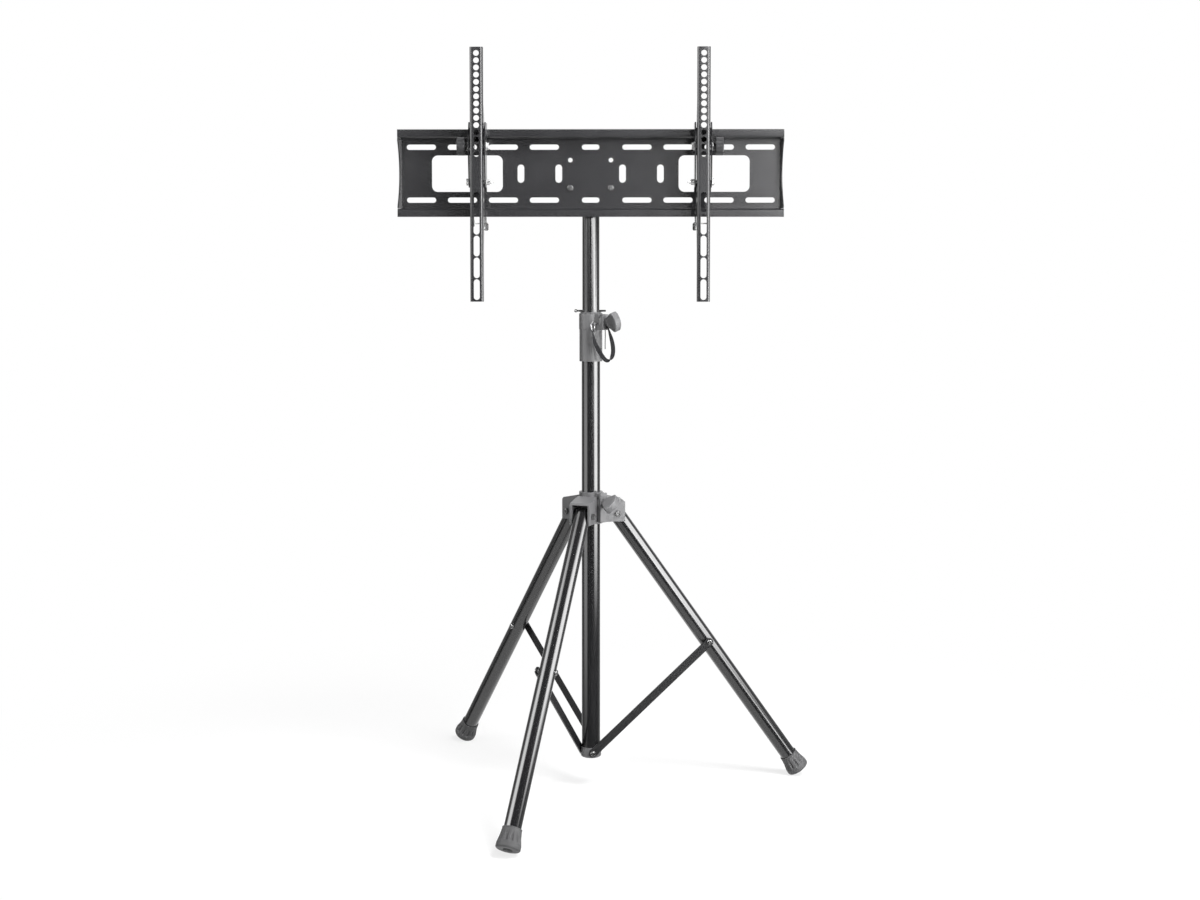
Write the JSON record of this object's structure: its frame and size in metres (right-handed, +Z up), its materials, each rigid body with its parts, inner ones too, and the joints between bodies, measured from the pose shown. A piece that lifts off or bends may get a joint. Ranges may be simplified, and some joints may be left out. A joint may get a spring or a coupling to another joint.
{
  "type": "portable display stand",
  "caption": "Folding floor tripod with a telescopic mast and a slotted cross plate that carries tilting screen arms; the legs fold up along the pole.",
  "frame": {"origin": "On the pole's axis at floor level, under the end cap", "axes": "+Z up along the pole, +X along the screen plate, -Y the side the screen faces"},
  "size_m": [0.7136, 0.674, 1.274],
  "materials": {
    "black_steel": "black powder coat, satin, with a fine texture",
    "grey_moulding": "moulded dark grey plastic, finely grained",
    "black_moulding": "moulded black plastic",
    "grey_rubber": "moulded dark grey rubber",
    "zinc": "bright zinc plate",
    "bright_steel": "bright nickel plate",
    "black_strap": "woven black strap and cord"
  },
  "bodies": {
    "base": {"lower_pole": "black_steel", "pole_end_cap": "grey_moulding", "brace_screws": "zinc", "pole_collar": "grey_moulding", "collar_nut": "zinc", "lanyard_ring": "bright_steel", "lanyard_ends": "black_strap", "lanyard_strap": "black_strap", "lanyard_tail": "black_strap"},
    "hub": {"leg_hub": "grey_moulding", "hub_nut": "zinc", "leg_pivot_bolts": "zinc", "leg_pivot_nuts": "zinc"},
    "hub_screw": {"hub_knob": "grey_moulding", "hub_stud": "zinc"},
    "collar_screw": {"collar_knob": "grey_moulding", "collar_stud": "zinc"},
    "bush": {"mast_bush": "grey_moulding"},
    "mast": {"mast": "black_steel", "mast_guide": "grey_moulding", "head_bracket": "black_steel", "cross_plate": "black_steel", "plate_screws": "zinc", "plate_nuts": "zinc"},
    "pin": {"height_pin": "bright_steel"},
    "leg_right": {"leg_right": "black_steel", "leg_plug_right": "grey_moulding", "foot_right": "grey_rubber", "brace_bolt_right": "zinc"},
    "brace_right": {"brace_right": "black_steel", "brace_rivet_right": "zinc"},
    "leg_left": {"leg_left": "black_steel", "leg_plug_left": "grey_moulding", "foot_left": "grey_rubber", "brace_bolt_left": "zinc"},
    "brace_left": {"brace_left": "black_steel", "brace_rivet_left": "zinc"},
    "leg_front": {"leg_front": "black_steel", "leg_plug_front": "grey_moulding", "foot_front": "grey_rubber", "brace_bolt_front": "zinc"},
    "brace_front": {"brace_front": "black_steel", "brace_rivet_front": "zinc"},
    "slider_left": {"hook_bracket_left": "black_steel", "tilt_pivot_left": "zinc", "latch_pin_left": "zinc"},
    "arm_left": {"arm_left": "black_steel", "tilt_fittings_left": "zinc"},
    "tilt_lock_left": {"tilt_knob_left": "black_moulding", "tilt_stud_left": "zinc"},
    "latch_left": {"latch_left": "black_steel"},
    "slider_right": {"hook_bracket_right": "black_steel", "tilt_pivot_right": "zinc", "latch_pin_right": "zinc"},
    "arm_right": {"arm_right": "black_steel", "tilt_fittings_right": "zinc"},
    "tilt_lock_right": {"tilt_knob_right": "black_moulding", "tilt_stud_right": "zinc"},
    "latch_right": {"latch_right": "black_steel"}
  },
  "joints": [
    {"name": "hub_slide", "type": "slide", "parent": "base", "child": "hub", "axis": [0, 0, 1], "range_m": [0, 0.1411]},
    {"name": "hub_screw_turn", "type": "hinge", "parent": "hub", "child": "hub_screw", "pos_m": [0, 0, 0.50136], "axis": [0.6691, -0.7431, 0], "continuous": true},
    {"name": "collar_screw_turn", "type": "hinge", "parent": "base", "child": "collar_screw", "pos_m": [0, 0, 0.8143], "axis": [0.6691, -0.7431, 0], "continuous": true},
    {"name": "mast_swivel", "type": "hinge", "parent": "base", "child": "bush", "pos_m": [0, 0, 0.8073], "axis": [0, 0, 1], "continuous": true},
    {"name": "mast_slide", "type": "slide", "parent": "bush", "child": "mast", "axis": [0, 0, 1], "range_m": [0, 0.6]},
    {"name": "pin_slide", "type": "slide", "parent": "mast", "child": "pin", "axis": [-1, 0, 0], "range_m": [0, 0.06]},
    {"name": "leg_fold_right", "type": "hinge", "parent": "hub", "child": "leg_right", "pos_m": [0.04319, 0.0084, 0.48086], "axis": [-0.1908, 0.9816, 0], "range_deg": [0, 35.3]},
    {"name": "brace_fold_right", "type": "hinge", "parent": "base", "child": "brace_right", "pos_m": [0, 0, 0.062], "axis": [-0.1908, 0.9816, 0], "range_deg": [-38.93, 0]},
    {"name": "leg_fold_left", "type": "hinge", "parent": "hub", "child": "leg_left", "pos_m": [-0.02887, 0.03321, 0.48086], "axis": [-0.7547, -0.6561, 0], "range_deg": [0, 35.3]},
    {"name": "brace_fold_left", "type": "hinge", "parent": "base", "child": "brace_left", "pos_m": [0, 0, 0.062], "axis": [-0.7547, -0.6561, 0], "range_deg": [-38.93, 0]},
    {"name": "leg_fold_front", "type": "hinge", "parent": "hub", "child": "leg_front", "pos_m": [-0.01432, -0.0416, 0.48086], "axis": [0.9455, -0.3256, 0], "range_deg": [0, 35.3]},
    {"name": "brace_fold_front", "type": "hinge", "parent": "base", "child": "brace_front", "pos_m": [0, 0, 0.062], "axis": [0.9455, -0.3256, 0], "range_deg": [-38.93, 0]},
    {"name": "arm_slide_left", "type": "slide", "parent": "mast", "child": "slider_left", "axis": [-1, 0, 0], "range_m": [-0.09, 0.11]},
    {"name": "tilt_left", "type": "hinge", "parent": "slider_left", "child": "arm_left", "pos_m": [-0.19, -0.06, 1.0503], "axis": [1, 0, 0], "range_deg": [0, 12]},
    {"name": "tilt_lock_turn_left", "type": "hinge", "parent": "arm_left", "child": "tilt_lock_left", "pos_m": [-0.19, -0.06, 1.1103], "axis": [-1, 0, 0], "continuous": true},
    {"name": "latch_release_left", "type": "hinge", "parent": "slider_left", "child": "latch_left", "pos_m": [-0.19, -0.0335, 0.981], "axis": [-1, 0, 0], "range_deg": [0, 20], "stiffness_Nm_per_rad": 0.05, "springref_deg": -17.19},
    {"name": "arm_slide_right", "type": "slide", "parent": "mast", "child": "slider_right", "axis": [1, 0, 0], "range_m": [-0.09, 0.11]},
    {"name": "tilt_right", "type": "hinge", "parent": "slider_right", "child": "arm_right", "pos_m": [0.19, -0.06, 1.0503], "axis": [1, 0, 0], "range_deg": [0, 12]},
    {"name": "tilt_lock_turn_right", "type": "hinge", "parent": "arm_right", "child": "tilt_lock_right", "pos_m": [0.19, -0.06, 1.1103], "axis": [1, 0, 0], "continuous": true},
    {"name": "latch_release_right", "type": "hinge", "parent": "slider_right", "child": "latch_right", "pos_m": [0.19, -0.0335, 0.981], "axis": [-1, 0, 0], "range_deg": [0, 20], "stiffness_Nm_per_rad": 0.05, "springref_deg": -17.19}
  ],
  "couplings": [
    {"joint": "leg_fold_right", "follows": "hub_slide", "rad_per_m": 4.3651},
    {"joint": "brace_fold_right", "follows": "hub_slide", "rad_per_m": -4.8128},
    {"joint": "leg_fold_left", "follows": "hub_slide", "rad_per_m": 4.3651},
    {"joint": "brace_fold_left", "follows": "hub_slide", "rad_per_m": -4.8128},
    {"joint": "leg_fold_front", "follows": "hub_slide", "rad_per_m": 4.3651},
    {"joint": "brace_fold_front", "follows": "hub_slide", "rad_per_m": -4.8128}
  ]
}
